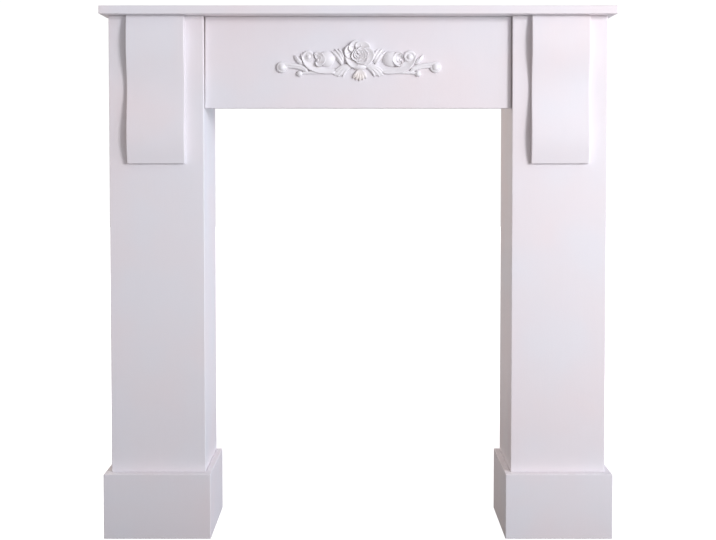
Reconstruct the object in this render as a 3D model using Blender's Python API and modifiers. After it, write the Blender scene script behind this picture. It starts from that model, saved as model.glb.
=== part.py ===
"""A white painted fireplace mantelpiece: shelf, header, two box pillars on plinths, brackets and a cast rose.

Metres, +Z up. The origin is on the floor, in the middle of the object's box. The front faces -Y and the open
back of the boxes lies on one plane at +Y, where the mantelpiece meets a wall.
"""

import math

import bmesh
import bpy
from mathutils import Euler, Matrix, Vector

# Overall sizes
WIDTH = 1.000
DEPTH = 0.210
HEIGHT = 1.043

# Boards
SHELF_THICKNESS = 0.016
HEADER_THICKNESS = 0.018
PILLAR_BOARD = 0.012
PLINTH_SIDE_BOARD = 0.012
PLINTH_FRONT_BOARD = 0.020
EDGE_ROUND = 0.0012
EDGE_SEGMENTS = 2
TOUCH_GAP = 0.0003
WELD_DISTANCE = 0.00001
SLIVER_WIDTH = 0.00003

# Pillars and plinths
SHELF_OVERHANG = 0.032
PILLAR_WIDTH = 0.1855
PLINTH_HEIGHT = 0.128

# Header, which hangs a little out of square between the pillars
HEADER_HEIGHT = 0.180
HEADER_SETBACK = 0.012
HEADER_GAP_LEFT = 0.0006
HEADER_GAP_RIGHT = 0.0008
HEADER_OUT_OF_SQUARE = 0.0014

# Brackets: how far each stands out, from its top edge down to its foot
BRACKET_WIDTH = 0.113
BRACKET_HEIGHT = 0.2885
BRACKET_TOP = 0.0105
BRACKET_UPPER_SWELL = 0.0165
BRACKET_WAIST = 0.0080
BRACKET_LOWER_SWELL = 0.0160
BRACKET_FOOT = 0.0085
UPPER_SWELL_DROP = 0.053
WAIST_DROP = 0.140
LOWER_SWELL_DROP = 0.236
BRACKET_STEPS = 8
BRACKET_EDGE_ROUND = 0.0008
BRACKET_CREASE_DEGREES = 50.0

# Ornament
ORNAMENT_LENGTH = 0.325
ORNAMENT_DROP = 0.0905
ORNAMENT_SHIFT = 0.0014

# The ornament's drawing, in units of which its whole length takes DRAWN_LENGTH. Each half is drawn outwards from
# the rose's middle line: (out, up) places, and radii of rounded strands.
DRAWN_LENGTH = 325.0
ROSE_CENTRE = (0.6, 14.0)
OUTER_PETALS = {"count": 5, "reach": 15.5, "length": 14.0, "width": 14.5, "height": 6.0, "turn": 54.0}
ROSE_DOME = {"length": 17.0, "width": 17.0, "height": 9.0}
ROSE_HEART = {"length": 4.5, "width": 4.5, "height": 12.5}
CURLED_RIMS = (
    {"count": 5, "reach": 25.5, "lift": 2.6, "span": 62.0, "turn": 18.0, "radius": 1.9},
    {"count": 4, "reach": 15.0, "lift": 6.0, "span": 96.0, "turn": 40.0, "radius": 2.1},
    {"count": 3, "reach": 9.0, "lift": 8.6, "span": 118.0, "turn": 75.0, "radius": 1.9},
)
RIM_TUCK = 0.80
LOWER_PETAL = {"place": (2.6, -8.5), "length": 14.0, "width": 6.5, "height": 8.0, "turn": 4.0}
FAN_ROOT = (1.2, -9.0)
FAN_ROOT_RADIUS = 3.0
FAN_ANGLES = (-118.0, -104.0, -90.0, -76.0, -62.0)
FAN_LENGTH = 25.0
FAN_RADII = (2.6, 3.0)
VOLUTE_CENTRE = (99.0, 11.0)
VOLUTE_RADII = (11.0, 6.4)
VOLUTE_TURN = (-20.0, 280.0)
VOLUTE_BALL = 5.4
SWEEP_START = (57.0, -15.6)
SWEEP_STRENGTH = (32.0, 12.0)
SCROLL_RADII = (5.4, 2.7)
CURL_CENTRE = (151.0, -9.0)
CURL_RADII = (7.8, 5.4)
CURL_TURN = (120.0, -160.0)
CURL_BALL = 7.0
TAIL_START = (102.0, -13.0)
TAIL_STRENGTH = (14.0, 12.0)
TAIL_RADII = (4.2, 3.0)
UNDER_TAIL = ((99.0, -16.5), (115.0, -16.0), (130.0, -12.0), (144.0, -10.5))
UNDER_TAIL_RADII = (3.0, 2.6)
STEM = ((46.0, -19.0), (66.0, -18.4), (94.0, -18.4), (116.0, -21.6))
STEM_RADII = (3.2, 2.6)
STEM_BALL = 6.0
UPPER_LEAF_ROOT = (24.0, -3.0)
UPPER_LEAF_TIPS = ((41.0, 26.5), (48.0, 25.0), (52.0, 19.0))
UPPER_LEAF_RADII = (2.2, 3.2)
LOWER_LEAF_ROOT = (10.0, -8.0)
LOWER_LEAF_TIPS = ((49.5, -21.5), (42.5, -26.0), (32.0, -27.5))
LOWER_LEAF_RADII = (3.6, 2.4)
LEAF_BOW = 0.16
RIB_STAGGER = 1.3
LOBES = (
    {"place": (60.0, 6.0), "length": 16.5, "width": 13.0, "height": 7.6, "turn": 100.0},
    {"place": (76.0, 8.6), "length": 14.5, "width": 9.0, "height": 8.6, "turn": 82.0},
    {"place": (84.0, -6.0), "length": 22.0, "width": 9.0, "height": 3.8, "turn": 16.0},
    {"place": (118.0, 5.6), "length": 11.5, "width": 4.0, "height": 5.0, "turn": 46.0},
    {"place": (33.0, -17.5), "length": 18.5, "width": 8.0, "height": 5.0, "turn": -22.0},
    {"place": (40.0, 12.0), "length": 17.0, "width": 6.5, "height": 4.0, "turn": 48.0},
)
STRAND_LIFT = 1.4
STRAND_TIP_SHARE = 0.55
BALL_HEIGHT_SHARE = 1.1
STRAND_STEPS = 8
SPIRAL_STEPS = 16
RIM_STEPS = 6
RIB_STEPS = 4
TUBE_RESOLUTION = 2
LOBE_SEGMENTS = 12
LOBE_RINGS = 8
ORNAMENT_CREASE_DEGREES = 40.0

# Finishes
PAINT = (0.83, 0.80, 0.82)
PAINT_ROUGHNESS = 0.45
CAST = (0.86, 0.84, 0.85)
CAST_ROUGHNESS = 0.40

# Places that follow from the sizes
FRONT = -DEPTH / 2
BACK = DEPTH / 2
SHELF_UNDERSIDE = HEIGHT - SHELF_THICKNESS
BOARD_TOP = SHELF_UNDERSIDE - TOUCH_GAP
PILLAR_FACE = FRONT + SHELF_OVERHANG
HEADER_FACE = PILLAR_FACE + HEADER_SETBACK
PILLAR_OUTER = WIDTH / 2 - PLINTH_SIDE_BOARD - TOUCH_GAP
PILLAR_INNER = PILLAR_OUTER - PILLAR_WIDTH
PILLAR_MIDDLE = (PILLAR_OUTER + PILLAR_INNER) / 2
PLINTH_INNER = PILLAR_INNER - TOUCH_GAP - PLINTH_SIDE_BOARD
PLINTH_FACE = PILLAR_FACE - TOUCH_GAP - PLINTH_FRONT_BOARD

LEFT, RIGHT = -1, 1
SAME_WAY = 0.9
SIDES = {"left": LEFT, "right": RIGHT}


def clear_scene():
    """Takes every object out of the open file."""
    for item in list(bpy.data.objects):
        bpy.data.objects.remove(item, do_unlink=True)


def new_collection(name):
    """A collection of its own, linked to the scene."""
    made = bpy.data.collections.new(name)
    bpy.context.scene.collection.children.link(made)
    return made


def new_material(name, colour, roughness):
    """A painted finish with one colour and roughness."""
    made = bpy.data.materials.new(name)
    made.use_nodes = True
    shader = made.node_tree.nodes["Principled BSDF"]
    shader.inputs["Base Color"].default_value = (*colour, 1.0)
    shader.inputs["Roughness"].default_value = roughness
    shader.inputs["Metallic"].default_value = 0.0
    return made


def add_object(name, data, collection, material=None):
    """Links new data to the scene as a named object."""
    made = bpy.data.objects.new(name, data)
    collection.objects.link(made)
    if material:
        data.materials.append(material)
    return made


def round_edges(piece, width, segments):
    """Rounds the edges that carry a bevel weight."""
    rounding = piece.modifiers.new("rounded edges", "BEVEL")
    rounding.width = width
    rounding.segments = segments
    rounding.limit_method = "WEIGHT"
    return rounding


def board(name, low, high, collection, material, soft=()):
    """A flat board between two corners, with the edges round the faces that point along soft rounded."""
    shape = bmesh.new()
    bmesh.ops.create_cube(shape, size=1.0)
    size = Vector(high) - Vector(low)
    middle = (Vector(high) + Vector(low)) / 2
    bmesh.ops.transform(shape, matrix=Matrix.Diagonal((*size, 1.0)), verts=shape.verts)
    weight = shape.edges.layers.float.new("bevel_weight_edge")
    for face in shape.faces:
        if any(face.normal.dot(Vector(way)) > SAME_WAY for way in soft):
            for edge in face.edges:
                edge[weight] = 1.0
    mesh = bpy.data.meshes.new(name)
    shape.to_mesh(mesh)
    shape.free()
    made = add_object(name, mesh, collection, material)
    made.location = middle
    if soft:
        round_edges(made, EDGE_ROUND, EDGE_SEGMENTS)
    return made


def across(side, near, far):
    """Lowest and highest x of a span that runs outwards from near to far on one side."""
    return sorted((side * near, side * far))


def pillar(label, side, collection, material):
    """Three boards that make a box column, open at the back."""
    front_back = PILLAR_FACE + PILLAR_BOARD
    x0, x1 = across(side, PILLAR_INNER, PILLAR_OUTER)
    board(f"{label}_pillar_front", (x0, PILLAR_FACE, 0.0), (x1, front_back, BOARD_TOP),
          collection, material, soft=[(0, -1, 0)])
    spans = {
        "outer": across(side, PILLAR_OUTER - PILLAR_BOARD, PILLAR_OUTER),
        "inner": across(side, PILLAR_INNER, PILLAR_INNER + PILLAR_BOARD),
    }
    for which, (near, far) in spans.items():
        board(f"{label}_pillar_{which}_side", (near, front_back + TOUCH_GAP, 0.0), (far, BACK, BOARD_TOP),
              collection, material, soft=[(0, 1, 0)])


def plinth(label, side, collection, material):
    """Three boards wrapped round the front and sides of a pillar's foot."""
    face_back = PLINTH_FACE + PLINTH_FRONT_BOARD
    x0, x1 = across(side, PLINTH_INNER, WIDTH / 2)
    board(f"{label}_plinth_front", (x0, PLINTH_FACE, 0.0), (x1, face_back, PLINTH_HEIGHT),
          collection, material, soft=[(0, -1, 0), (0, 0, 1)])
    spans = {
        "outer": across(side, PILLAR_OUTER + TOUCH_GAP, WIDTH / 2),
        "inner": across(side, PLINTH_INNER, PLINTH_INNER + PLINTH_SIDE_BOARD),
    }
    for which, (near, far) in spans.items():
        board(f"{label}_plinth_{which}_side", (near, face_back + TOUCH_GAP, 0.0), (far, BACK, PLINTH_HEIGHT),
              collection, material, soft=[(0, 0, 1)])


def header(collection, material):
    """The board between the pillars. Its left end leans, so that the joint there opens towards the top."""
    low = (-PILLAR_INNER + HEADER_GAP_LEFT, HEADER_FACE, BOARD_TOP - HEADER_HEIGHT)
    high = (PILLAR_INNER - HEADER_GAP_RIGHT, HEADER_FACE + HEADER_THICKNESS, BOARD_TOP)
    made = board("header_board", low, high, collection, material, soft=[(0, -1, 0), (0, 0, -1)])
    for corner in made.data.vertices:
        if corner.co.x < 0 and corner.co.z > 0:
            corner.co.x += HEADER_OUT_OF_SQUARE
    return made


def rising_to_level(start, end, share):
    """A value that leaves one number at a slope and arrives level at another."""
    return start + (end - start) * math.sin(math.pi / 2 * share)


def level_to_level(start, end, share):
    """A value that leaves and arrives level, as half a cosine wave does."""
    return start + (end - start) * (1 - math.cos(math.pi * share)) / 2


def level_to_falling(start, end, share):
    """A value that leaves one number level and arrives at another at a slope."""
    return start + (end - start) * (1 - math.cos(math.pi / 2 * share))


def bracket_outline():
    """The bracket's side view, as (stand-out, height) points from its top corner down its wavy face."""
    top = (0.0, BRACKET_TOP)
    upper = (UPPER_SWELL_DROP, BRACKET_UPPER_SWELL)
    waist = (WAIST_DROP, BRACKET_WAIST)
    lower = (LOWER_SWELL_DROP, BRACKET_LOWER_SWELL)
    foot = (BRACKET_HEIGHT, BRACKET_FOOT)
    spans = [
        (top, upper, rising_to_level),
        (upper, waist, level_to_level),
        (waist, lower, level_to_level),
        (lower, foot, level_to_falling),
    ]
    face = [(BRACKET_TOP, 0.0)]
    for (drop_a, out_a), (drop_b, out_b), curve in spans:
        for step in range(1, BRACKET_STEPS + 1):
            share = step / BRACKET_STEPS
            face.append((curve(out_a, out_b, share), -(drop_a + (drop_b - drop_a) * share)))
    return [(0.0, 0.0)] + face + [(0.0, -BRACKET_HEIGHT)]


def flat_outline(name, points, half_thickness, collection, material):
    """A closed outline of (x, y) points, filled and given its thickness along its own Z."""
    curve = bpy.data.curves.new(name, "CURVE")
    curve.dimensions = "2D"
    curve.fill_mode = "BOTH"
    curve.extrude = half_thickness
    line = curve.splines.new("POLY")
    line.points.add(len(points) - 1)
    for spot, (x, y) in zip(line.points, points):
        spot.co = (x, y, 0.0, 1.0)
    line.use_cyclic_u = True
    return add_object(name, curve, collection, material)


def bracket(label, side, collection, material):
    """A thin plate whose face swells twice, standing on the pillar's face right under the shelf."""
    made = flat_outline(f"{label}_bracket", bracket_outline(), BRACKET_WIDTH / 2, collection, material)
    made.location = (side * PILLAR_MIDDLE, PILLAR_FACE - TOUCH_GAP, BOARD_TOP)
    made.rotation_euler = Euler((math.pi / 2, 0.0, -math.pi / 2))
    weld = made.modifiers.new("closed caps", "WELD")
    weld.merge_threshold = WELD_DISTANCE
    rounding = made.modifiers.new("rounded edges", "BEVEL")
    rounding.width = BRACKET_EDGE_ROUND
    rounding.segments = EDGE_SEGMENTS
    rounding.limit_method = "ANGLE"
    rounding.angle_limit = math.radians(BRACKET_CREASE_DEGREES)
    return made


def bezier(start, pull_start, pull_end, end, steps):
    """Points along a cubic curve through its first and last control points."""
    a, b, c, d = (Vector(p) for p in (start, pull_start, pull_end, end))
    points = []
    for step in range(steps + 1):
        t = step / steps
        s = 1 - t
        points.append(a * s ** 3 + b * 3 * t * s ** 2 + c * 3 * t * t * s + d * t ** 3)
    return points


def on_circle(centre, radius, degrees):
    """A point at an angle round a centre."""
    angle = math.radians(degrees)
    return Vector((centre[0] + radius * math.cos(angle), centre[1] + radius * math.sin(angle)))


def spiral(centre, radii, turn, steps):
    """Points that wind round a centre between two angles while their radius changes evenly."""
    shares = [step / steps for step in range(steps + 1)]
    return [on_circle(centre, radii[0] + (radii[1] - radii[0]) * t, turn[0] + (turn[1] - turn[0]) * t)
            for t in shares]


def strand_into_spiral(start, strength, centre, radii, turn):
    """A smooth run from a start, level at first, that flows into a spiral at the spiral's first point."""
    entry = on_circle(centre, radii[0], turn[0])
    way = 90.0 if turn[1] > turn[0] else -90.0
    tangent = on_circle((0.0, 0.0), 1.0, turn[0] + way)
    lead = (start[0] + strength[0], start[1])
    run = bezier(start, lead, entry - tangent * strength[1], entry, STRAND_STEPS)
    return run[:-1] + spiral(centre, radii, turn, SPIRAL_STEPS)


def bowed(root, tip):
    """A rib from a root to a tip that bows a little to one side."""
    root, tip = Vector(root), Vector(tip)
    aside = Vector((root.y - tip.y, tip.x - root.x)) * LEAF_BOW
    third = (tip - root) / 3
    return bezier(root, root + third + aside, tip - third + aside, tip, RIB_STEPS)


def mesh_of(piece):
    """A new mesh with a piece's curve or modifiers worked out."""
    bpy.context.view_layer.update()
    return bpy.data.meshes.new_from_object(piece.evaluated_get(bpy.context.evaluated_depsgraph_get()))


def flat_backed(mesh):
    """Cuts a closed mesh off at its own z = 0 and closes the cut with triangles."""
    shape = bmesh.new()
    shape.from_mesh(mesh)
    bmesh.ops.bisect_plane(shape, geom=shape.verts[:] + shape.edges[:] + shape.faces[:], dist=WELD_DISTANCE,
                           plane_co=(0.0, 0.0, 0.0), plane_no=(0.0, 0.0, 1.0), clear_inner=True)
    rim = [edge for edge in shape.edges if edge.is_boundary]
    for corner in {corner for edge in rim for corner in edge.verts}:
        corner.co.z = 0.0
    bmesh.ops.triangle_fill(shape, edges=rim, use_beauty=True)
    bmesh.ops.remove_doubles(shape, verts=shape.verts, dist=SLIVER_WIDTH)
    bmesh.ops.recalc_face_normals(shape, faces=shape.faces)
    shape.to_mesh(mesh)
    shape.free()
    mesh.shade_smooth()
    mesh.set_sharp_from_angle(angle=math.radians(ORNAMENT_CREASE_DEGREES))
    return mesh


class Ornament:
    """The cast rose and scrolls: strands and lobes joined into one solid, then cut off flat at the back."""

    def __init__(self, pieces, guides, material):
        self.unit = ORNAMENT_LENGTH / DRAWN_LENGTH
        self.pieces = pieces
        self.guides = guides
        self.material = material
        self.place = Matrix.Translation((ORNAMENT_SHIFT, HEADER_FACE - TOUCH_GAP, BOARD_TOP - ORNAMENT_DROP))
        self.place = self.place @ Matrix.Rotation(math.pi / 2, 4, "X")

    def strand(self, name, side, points, radii, lift=STRAND_LIFT):
        """A rounded strand along (out, up) points, at a height over the back, with tapered ends."""
        curve = bpy.data.curves.new(name, "CURVE")
        curve.dimensions = "3D"
        curve.bevel_depth = self.unit
        curve.bevel_resolution = TUBE_RESOLUTION
        curve.use_fill_caps = True
        line = curve.splines.new("POLY")
        line.points.add(len(points) - 1)
        last = len(points) - 1
        for step, (spot, point) in enumerate(zip(line.points, points)):
            thickness = radii[0] + (radii[1] - radii[0]) * step / last
            if step in (0, last):
                thickness *= STRAND_TIP_SHARE
            spot.co = (side * point[0] * self.unit, point[1] * self.unit, lift * self.unit, 1.0)
            spot.radius = thickness
        path = add_object(name, curve, self.guides)
        shape = bmesh.new()
        shape.from_mesh(mesh_of(path))
        bpy.data.objects.remove(path, do_unlink=True)
        bmesh.ops.remove_doubles(shape, verts=shape.verts, dist=WELD_DISTANCE)
        return self.shape_object(name, shape, self.guides)

    def shape_object(self, name, shape, collection):
        """Links a shape to the scene as a mesh object."""
        mesh = bpy.data.meshes.new(name)
        shape.to_mesh(mesh)
        shape.free()
        return add_object(name, mesh, collection)

    def lobe(self, name, side, place, length, width, height, turn, collection=None):
        """An egg half sunk in the back plane, with its long axis turned from the outward direction."""
        shape = bmesh.new()
        bmesh.ops.create_uvsphere(shape, u_segments=LOBE_SEGMENTS, v_segments=LOBE_RINGS, radius=self.unit)
        bmesh.ops.scale(shape, vec=(length, width, height), verts=shape.verts)
        bmesh.ops.rotate(shape, matrix=Matrix.Rotation(math.radians(turn * side), 3, "Z"), verts=shape.verts)
        middle = Vector((side * place[0], place[1], 0.0)) * self.unit
        bmesh.ops.translate(shape, vec=middle, verts=shape.verts)
        return self.shape_object(name, shape, collection or self.guides)

    def ball(self, name, side, place, radius):
        """A round boss on the back plane."""
        return self.lobe(name, side, place, radius, radius, radius * BALL_HEIGHT_SHARE, 0.0)

    def rose(self):
        """Spread petals and a dome with rings of curled rims, round a raised heart. Returns the heart."""
        outer = OUTER_PETALS
        for petal in range(outer["count"]):
            angle = outer["turn"] + 360.0 * petal / outer["count"]
            spot = on_circle(ROSE_CENTRE, outer["reach"], angle)
            self.lobe("petal", RIGHT, spot, outer["length"], outer["width"], outer["height"], angle)
        self.lobe("dome", RIGHT, ROSE_CENTRE, **ROSE_DOME, turn=0.0)
        self.lobe("lower_petal", RIGHT, **LOWER_PETAL)
        for ring in CURLED_RIMS:
            for rim in range(ring["count"]):
                middle = ring["turn"] + 360.0 * rim / ring["count"]
                turn = (middle - ring["span"] / 2, middle + ring["span"] / 2)
                radii = (ring["reach"], ring["reach"] * RIM_TUCK)
                points = spiral(ROSE_CENTRE, radii, turn, RIM_STEPS)
                self.strand("rim", RIGHT, points, (ring["radius"], ring["radius"]), ring["lift"])
        return self.lobe("rose_ornament", RIGHT, ROSE_CENTRE, **ROSE_HEART, turn=0.0, collection=self.pieces)

    def leaf(self, name, side, root, tips, radii):
        """A spray of ribs from about one root to each tip."""
        for rib, tip in enumerate(tips):
            start = Vector(root) + (Vector(tip) - Vector(root)).normalized() * RIB_STAGGER * rib
            self.strand(name, side, bowed(start, tip), radii)

    def half(self, side):
        """The scroll, tail, stem, leaves and buds on one side of the rose."""
        scroll = strand_into_spiral(SWEEP_START, SWEEP_STRENGTH, VOLUTE_CENTRE, VOLUTE_RADII, VOLUTE_TURN)
        tail = strand_into_spiral(TAIL_START, TAIL_STRENGTH, CURL_CENTRE, CURL_RADII, CURL_TURN)
        self.strand("scroll", side, scroll, SCROLL_RADII)
        self.strand("tail", side, tail, TAIL_RADII)
        self.strand("under_tail", side, bezier(*UNDER_TAIL, STRAND_STEPS), UNDER_TAIL_RADII)
        self.strand("stem", side, bezier(*STEM, STRAND_STEPS), STEM_RADII)
        self.ball("volute_ball", side, VOLUTE_CENTRE, VOLUTE_BALL)
        self.ball("curl_ball", side, CURL_CENTRE, CURL_BALL)
        self.ball("stem_ball", side, STEM[-1], STEM_BALL)
        self.leaf("upper_leaf", side, UPPER_LEAF_ROOT, UPPER_LEAF_TIPS, UPPER_LEAF_RADII)
        self.leaf("lower_leaf", side, LOWER_LEAF_ROOT, LOWER_LEAF_TIPS, LOWER_LEAF_RADII)
        for lobe in LOBES:
            self.lobe("lobe", side, **lobe)

    def build(self):
        """Joins the shapes in the drawing's own frame and sets the result on the header."""
        heart = self.rose()
        for angle in FAN_ANGLES:
            root = on_circle(FAN_ROOT, FAN_ROOT_RADIUS, angle)
            tip = on_circle(FAN_ROOT, FAN_LENGTH, angle)
            self.strand("fan", RIGHT, [root, (root + tip) / 2, tip], FAN_RADII)
        for side in SIDES.values():
            self.half(side)
        join = heart.modifiers.new("joined shapes", "BOOLEAN")
        join.operation = "UNION"
        join.operand_type = "COLLECTION"
        join.collection = self.guides
        join.solver = "EXACT"
        joined = flat_backed(mesh_of(heart))
        bpy.data.objects.remove(heart, do_unlink=True)
        for guide in list(self.guides.objects):
            bpy.data.objects.remove(guide, do_unlink=True)
        made = add_object("rose_ornament", joined, self.pieces, self.material)
        made.matrix_world = self.place
        return made


def main():
    """Builds every piece of the mantelpiece."""
    clear_scene()
    pieces = new_collection("fireplace_mantelpiece")
    white = new_material("white_paint", PAINT, PAINT_ROUGHNESS)
    board("mantel_shelf", (-WIDTH / 2, FRONT, SHELF_UNDERSIDE), (WIDTH / 2, BACK, HEIGHT), pieces, white,
          soft=[(0, -1, 0), (-1, 0, 0), (1, 0, 0)])
    for label, side in SIDES.items():
        pillar(label, side, pieces, white)
        plinth(label, side, pieces, white)
        bracket(label, side, pieces, white)
    header(pieces, white)
    cast = new_material("cast_paint", CAST, CAST_ROUGHNESS)
    Ornament(pieces, new_collection("ornament_shapes"), cast).build()


main()
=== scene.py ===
"""Looks of a white painted fireplace mantelpiece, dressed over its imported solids.

The boards keep their solids and get a rolled satin paint, with raw fibreboard where nobody paints. The two
wavy brackets and the cast rose are fine surfaces worked out with numpy, and each stands where its solid is.
"""

import logging
import math
from abc import ABC, abstractmethod
from dataclasses import dataclass
from enum import Enum
from functools import cached_property, reduce

import bpy
import numpy as np
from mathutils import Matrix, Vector


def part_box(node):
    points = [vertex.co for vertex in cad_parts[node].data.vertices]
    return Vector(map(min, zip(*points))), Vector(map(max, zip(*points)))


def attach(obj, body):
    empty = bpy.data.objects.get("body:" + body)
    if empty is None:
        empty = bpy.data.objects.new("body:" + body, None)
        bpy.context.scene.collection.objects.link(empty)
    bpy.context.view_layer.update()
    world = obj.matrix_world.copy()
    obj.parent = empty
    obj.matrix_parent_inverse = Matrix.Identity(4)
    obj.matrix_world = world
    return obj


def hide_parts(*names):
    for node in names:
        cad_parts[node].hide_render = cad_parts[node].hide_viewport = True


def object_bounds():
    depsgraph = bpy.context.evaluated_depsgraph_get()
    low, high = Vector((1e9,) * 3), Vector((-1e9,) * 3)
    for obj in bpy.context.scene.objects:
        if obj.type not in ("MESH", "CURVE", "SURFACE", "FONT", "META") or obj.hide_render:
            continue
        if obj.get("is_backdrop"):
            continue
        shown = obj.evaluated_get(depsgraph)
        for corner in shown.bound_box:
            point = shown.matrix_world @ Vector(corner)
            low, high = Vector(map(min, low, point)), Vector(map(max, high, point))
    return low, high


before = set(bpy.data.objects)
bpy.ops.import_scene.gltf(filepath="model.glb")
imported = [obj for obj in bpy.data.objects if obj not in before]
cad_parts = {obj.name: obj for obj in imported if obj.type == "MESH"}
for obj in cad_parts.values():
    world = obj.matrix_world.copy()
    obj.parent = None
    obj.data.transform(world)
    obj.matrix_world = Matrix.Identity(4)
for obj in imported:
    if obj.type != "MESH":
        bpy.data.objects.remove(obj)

LOG = logging.getLogger("mantelpiece")
BODY = "root"
MILLIMETRE = 0.001
CREASE_DEGREES = 52.0
QUARTER = np.pi / 2
EMPTY = -1.0e3

Array = np.ndarray
Socket = bpy.types.NodeSocket
Material = bpy.types.Material
Colour = tuple[float, float, float]
Place = tuple[float, float]
Box = tuple[float, float, float, float]


class Side(Enum):
    """The two halves of the mantelpiece, with the sign of their x."""

    LEFT = -1
    RIGHT = 1

    @property
    def label(self) -> str:
        """The side's name as the nodes spell it."""
        return self.name.lower()


class BareFace(Enum):
    """Which faces of a board were left unpainted, as the directions that they look in."""

    NONE = ()
    BACK = ((0.0, 1.0, 0.0),)
    TOWARDS_LEFT = ((-1.0, 0.0, 0.0),)
    TOWARDS_RIGHT = ((1.0, 0.0, 0.0),)
    BACK_AND_ENDS = ((0.0, 1.0, 0.0), (-1.0, 0.0, 0.0), (1.0, 0.0, 0.0))


class NodeSheet:
    """A node tree, written from top to bottom."""

    def __init__(self, tree: bpy.types.NodeTree) -> None:
        """Starts on a tree, with the coordinates that its patterns read."""
        self.tree = tree
        self.coordinates = tree.nodes.new("ShaderNodeTexCoord")
        self.place = self.coordinates.outputs["Object"]

    def put(self, socket: Socket, value: object) -> None:
        """Links an output to a socket, or sets a constant on it.

        Args:
            socket: The input to fill.
            value: An output socket, a number, a vector or a colour.
        """
        if isinstance(value, Socket):
            self.tree.links.new(value, socket)
        elif isinstance(value, tuple) and socket.type == "RGBA":
            socket.default_value = (*value, 1.0)
        else:
            socket.default_value = value

    def node(self, kind: str, inputs: dict[str | int, object], **settings: str) -> bpy.types.Node:
        """Adds a node and fills it in.

        Args:
            kind: The node's type, without the ShaderNode in front.
            inputs: What each named or numbered input gets.
            settings: Values of the node's own menus.

        Returns:
            The node.
        """
        made = self.tree.nodes.new(f"ShaderNode{kind}")
        for name, value in settings.items():
            setattr(made, name, value)
        for key, value in inputs.items():
            self.put(made.inputs[key], value)
        return made

    def math(self, operation: str, first: object, second: object) -> Socket:
        """One sum on two numbers or outputs."""
        return self.node("Math", {0: first, 1: second}, operation=operation).outputs[0]

    def product(self, *factors: object) -> Socket:
        """The product of two or more numbers or outputs."""
        return reduce(lambda first, second: self.math("MULTIPLY", first, second), factors)

    def stretched(self, scale: tuple[float, float, float]) -> Socket:
        """Object coordinates with each axis scaled."""
        return self.node("Mapping", {"Scale": scale, "Vector": self.place}).outputs["Vector"]

    def noise(self, scale: float, detail: float, roughness: float = 0.5, place: Socket | None = None) -> Socket:
        """Cloudy noise between 0 and 1.

        Args:
            scale: Its waves in a metre.
            detail: Its octaves.
            roughness: How strong its finer octaves are.
            place: The coordinates it reads, or None for the object's own.

        Returns:
            The noise value.
        """
        return self.node("TexNoise", {"Scale": scale, "Detail": detail, "Roughness": roughness,
                                      "Vector": place or self.place}).outputs[0]

    def spread(self, value: object, start: Place, end: Place = (0.0, 1.0)) -> Socket:
        """A smooth step from one range to another.

        Args:
            value: The number that is mapped.
            start: The values between which it steps.
            end: The results at and past those two values.

        Returns:
            The mapped number.
        """
        inputs = {"Value": value, "From Min": start[0], "From Max": start[1],
                  "To Min": end[0], "To Max": end[1]}
        return self.node("MapRange", inputs, interpolation_type="SMOOTHSTEP").outputs[0]

    def mix(self, share: object, first: object, second: object) -> Socket:
        """A blend of two colours, where share says how much of the second one shows."""
        return self.node("Mix", {0: share, 6: first, 7: second}, data_type="RGBA").outputs[2]

    def facing(self, way: tuple[float, float, float], least: float = 0.9) -> Socket:
        """1 on faces that look one way, to the least cosine given, and 0 elsewhere."""
        normal = self.node("NewGeometry", {}).outputs["True Normal"]
        dot = self.node("VectorMath", {0: normal, 1: way}, operation="DOT_PRODUCT")
        return self.math("GREATER_THAN", dot.outputs["Value"], least)

    def added(self, first: Socket, second: Socket) -> Socket:
        """Two shaders added up."""
        return self.node("AddShader", {0: first, 1: second}).outputs[0]

    def bump(self, height: Socket, distance: float, under: Socket | None = None) -> Socket:
        """A bumped normal.

        Args:
            height: The height value, from 0 to 1.
            distance: The height of 1, in metres.
            under: A normal that this one is added to.

        Returns:
            The normal.
        """
        inputs = {"Height": height, "Distance": distance}
        if under is not None:
            inputs["Normal"] = under
        return self.node("Bump", inputs).outputs["Normal"]


class FinishSheet(NodeSheet):
    """A material's node tree."""

    def __init__(self, name: str) -> None:
        """Starts a material of this name, with its shader."""
        self.material = bpy.data.materials.new(name)
        self.material.use_nodes = True
        super().__init__(self.material.node_tree)
        self.shader = self.tree.nodes["Principled BSDF"]

    def finish(self, colour: Socket, roughness: Socket, normal: Socket) -> Material:
        """Links the patterns to the shader and gives the material."""
        for name, value in (("Base Color", colour), ("Roughness", roughness), ("Normal", normal)):
            self.put(self.shader.inputs[name], value)
        return self.material


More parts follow.
